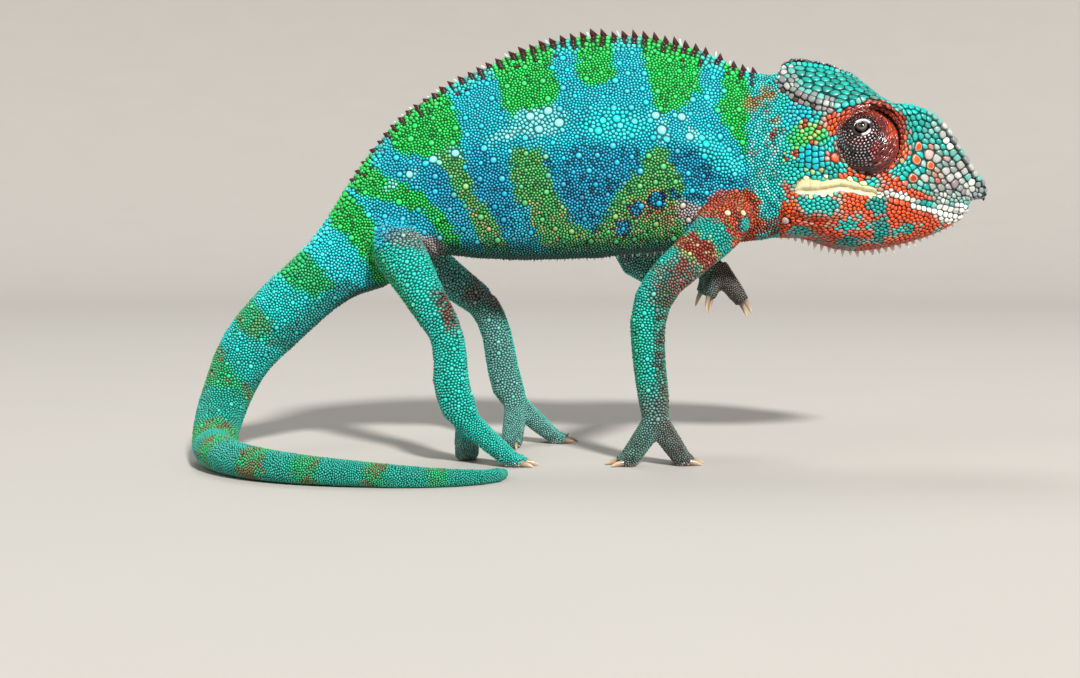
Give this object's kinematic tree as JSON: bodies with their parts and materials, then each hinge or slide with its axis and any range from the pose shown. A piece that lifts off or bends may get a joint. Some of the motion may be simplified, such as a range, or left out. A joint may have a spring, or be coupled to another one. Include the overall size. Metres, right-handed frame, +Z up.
{
  "type": "panther chameleon model",
  "caption": "Still life-size panther chameleon standing with one hand lifted, casqued head, turret eyes, spined back and its tail curved on the floor.",
  "frame": {"origin": "middle of the overall box, at floor level", "axes": "+X towards the head, +Y to the animal's left, +Z up"},
  "size_m": [0.1956, 0.0788, 0.1068],
  "materials": {
    "turquoise_skin": "satin granular scales",
    "cyan_skin": "satin granular scales",
    "casque_skin": "satin plate scales",
    "teal_skin": "satin granular scales",
    "red_skin": "satin granular scales",
    "claw_horn": "horn",
    "pupil_glass": "wet gloss"
  },
  "bodies": {
    "root": {"claw_foot_inner_left_1": "claw_horn", "claw_foot_inner_left_2": "claw_horn", "claw_foot_inner_right_1": "claw_horn", "claw_foot_inner_right_2": "claw_horn", "claw_foot_outer_left_1": "claw_horn", "claw_foot_outer_left_2": "claw_horn", "claw_foot_outer_left_3": "claw_horn", "claw_foot_outer_right_1": "claw_horn", "claw_foot_outer_right_2": "claw_horn", "claw_foot_outer_right_3": "claw_horn", "claw_hand_inner_left_1": "claw_horn", "claw_hand_inner_left_2": "claw_horn", "claw_hand_inner_left_3": "claw_horn", "claw_hand_inner_right_1": "claw_horn", "claw_hand_inner_right_2": "claw_horn", "claw_hand_inner_right_3": "claw_horn", "claw_hand_outer_left_1": "claw_horn", "claw_hand_outer_left_2": "claw_horn", "claw_hand_outer_right_1": "claw_horn", "claw_hand_outer_right_2": "claw_horn", "eye_left": "pupil_glass", "eye_right": "pupil_glass", "eye_turret_left": "red_skin", "eye_turret_right": "red_skin", "foot_inner_left": "teal_skin", "foot_inner_right": "teal_skin", "foot_outer_left": "teal_skin", "foot_outer_right": "teal_skin", "forearm_left": "teal_skin", "forearm_right": "teal_skin", "hand_inner_left": "teal_skin", "hand_inner_right": "teal_skin", "hand_outer_left": "teal_skin", "hand_outer_right": "teal_skin", "head": "casque_skin", "lower_jaw": "red_skin", "neck": "turquoise_skin", "shank_left": "teal_skin", "shank_right": "teal_skin", "tail_1": "teal_skin", "tail_2": "teal_skin", "tail_3": "teal_skin", "tail_4": "teal_skin", "tail_5": "teal_skin", "tail_6": "teal_skin", "tail_7": "teal_skin", "thigh_left": "cyan_skin", "thigh_right": "cyan_skin", "trunk": "cyan_skin", "upper_arm_left": "cyan_skin", "upper_arm_right": "cyan_skin"}
  },
  "joints": []
}
